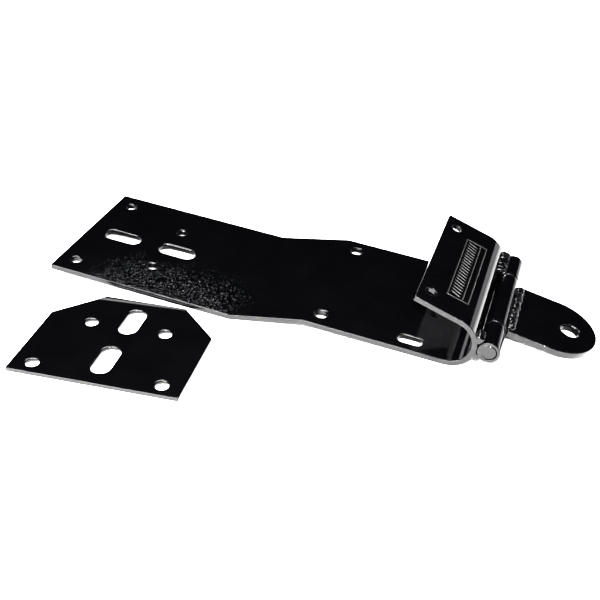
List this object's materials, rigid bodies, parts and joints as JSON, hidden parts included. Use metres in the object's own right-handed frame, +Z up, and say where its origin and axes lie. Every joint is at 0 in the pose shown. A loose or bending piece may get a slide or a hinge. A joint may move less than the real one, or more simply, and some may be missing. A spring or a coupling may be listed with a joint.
{
  "type": "hinged hitch bracket",
  "caption": "Bent black steel hitch bracket: a slotted mounting pad, a stepped shelf curled over into a flange, a hinged tongue with a tow pin hole, and a loose backing plate.",
  "frame": {"origin": "on the ground, under the middle of the bracket and its backing plate", "axes": "+Z up from the ground, +X along the bracket from its pad towards its tongue, +Y across it away from the backing plate"},
  "size_m": [0.3736, 0.215, 0.0475],
  "materials": {
    "gloss_black": "gloss black paint over steel plate, with light orange peel",
    "weld_paint": "gloss black paint over rough weld beads",
    "pin_paint": "gloss black paint over a steel pin"
  },
  "bodies": {
    "root": {"hitch_plate": "gloss_black", "hinge_pin": "pin_paint", "near_knuckle": "gloss_black", "far_knuckle": "gloss_black", "near_knuckle_weld_upper": "weld_paint", "near_knuckle_weld_lower": "weld_paint", "far_knuckle_weld_upper": "weld_paint", "far_knuckle_weld_lower": "weld_paint", "backing_plate": "gloss_black"},
    "tongue_leaf": {"tongue_knuckle": "gloss_black", "tongue": "gloss_black", "tongue_weld_upper": "weld_paint", "tongue_weld_lower": "weld_paint"}
  },
  "joints": [
    {"name": "tongue_hinge", "type": "hinge", "parent": "root", "child": "tongue_leaf", "pos_m": [0.1228, 0.05047, 0.01639], "axis": [0, 1, 0], "range_deg": [-113, 107]}
  ]
}
